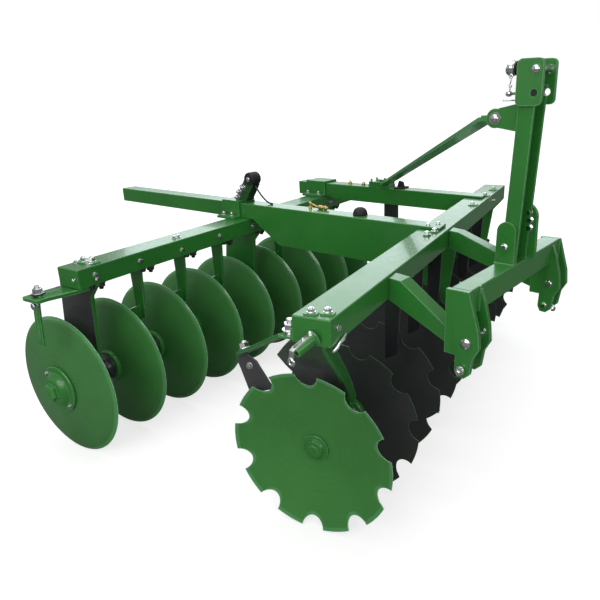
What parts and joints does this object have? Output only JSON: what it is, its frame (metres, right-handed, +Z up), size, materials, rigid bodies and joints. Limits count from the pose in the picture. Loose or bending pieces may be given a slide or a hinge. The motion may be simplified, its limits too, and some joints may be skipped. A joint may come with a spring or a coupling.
{
  "type": "disc harrow",
  "caption": "Mounted offset disc harrow: a rigid frame with a three-point hitch and mast over two gangs of dished discs that turn freely, notched in front and plain behind.",
  "frame": {"origin": "on the ground, under the middle of the bounding box", "axes": "+X forward to the tractor, +Y to the machine's left, +Z up"},
  "size_m": [2.7684, 2.526, 1.547],
  "materials": {
    "green_paint": "gloss green enamel",
    "black_paint": "satin black enamel",
    "zinc_plate": "zinc plated"
  },
  "bodies": {
    "frame": {"front_beam": "green_paint", "front_hanger_1": "green_paint", "front_hanger_2": "green_paint", "front_hanger_3": "green_paint", "front_scrapers": "black_paint", "front_end_scraper": "black_paint", "rear_beam": "green_paint", "rear_hanger_1": "green_paint", "rear_hanger_2": "green_paint", "rear_hanger_3": "green_paint", "rear_scrapers": "green_paint", "rear_end_scraper": "green_paint", "near_rail": "green_paint", "far_rail": "green_paint", "extension_bar": "green_paint", "near_saddle": "green_paint", "far_saddle": "green_paint", "adjuster_bracket": "green_paint", "adjuster_lever": "black_paint", "rail_post": "black_paint", "hitch_crossbeam": "green_paint", "near_hitch_outer_plate": "green_paint", "near_hitch_inner_plate": "green_paint", "near_hitch_pin": "zinc_plate", "near_lower_pin": "zinc_plate", "near_drawbar_arm": "green_paint", "far_hitch_outer_plate": "green_paint", "far_hitch_inner_plate": "green_paint", "far_hitch_pin": "zinc_plate", "far_lower_pin": "zinc_plate", "far_drawbar_arm": "green_paint", "mast": "green_paint", "near_mast_lug": "green_paint", "far_mast_lug": "green_paint", "top_link_pin": "zinc_plate", "strut_pin": "zinc_plate", "brace_strut": "green_paint"},
    "front_gang": {"front_gang_axle": "black_paint", "front_disc_1": "green_paint", "front_disc_2": "black_paint", "front_disc_3": "black_paint", "front_disc_4": "black_paint", "front_disc_5": "black_paint", "front_disc_6": "black_paint", "front_disc_7": "black_paint", "front_disc_8": "black_paint", "front_disc_9": "black_paint"},
    "rear_gang": {"rear_gang_axle": "black_paint", "rear_disc_1": "green_paint", "rear_disc_2": "green_paint", "rear_disc_3": "green_paint", "rear_disc_4": "green_paint", "rear_disc_5": "green_paint", "rear_disc_6": "green_paint", "rear_disc_7": "green_paint", "rear_disc_8": "green_paint", "rear_disc_9": "green_paint"}
  },
  "joints": [
    {"name": "front_gang_spin", "type": "hinge", "parent": "frame", "child": "front_gang", "pos_m": [0.88415, -0.8948, 0.3044], "axis": [-0.2156, 0.9765, 0], "continuous": true},
    {"name": "rear_gang_spin", "type": "hinge", "parent": "frame", "child": "rear_gang", "pos_m": [-0.29585, -1.1208, 0.3123], "axis": [-0.1132, 0.9936, 0], "continuous": true}
  ]
}
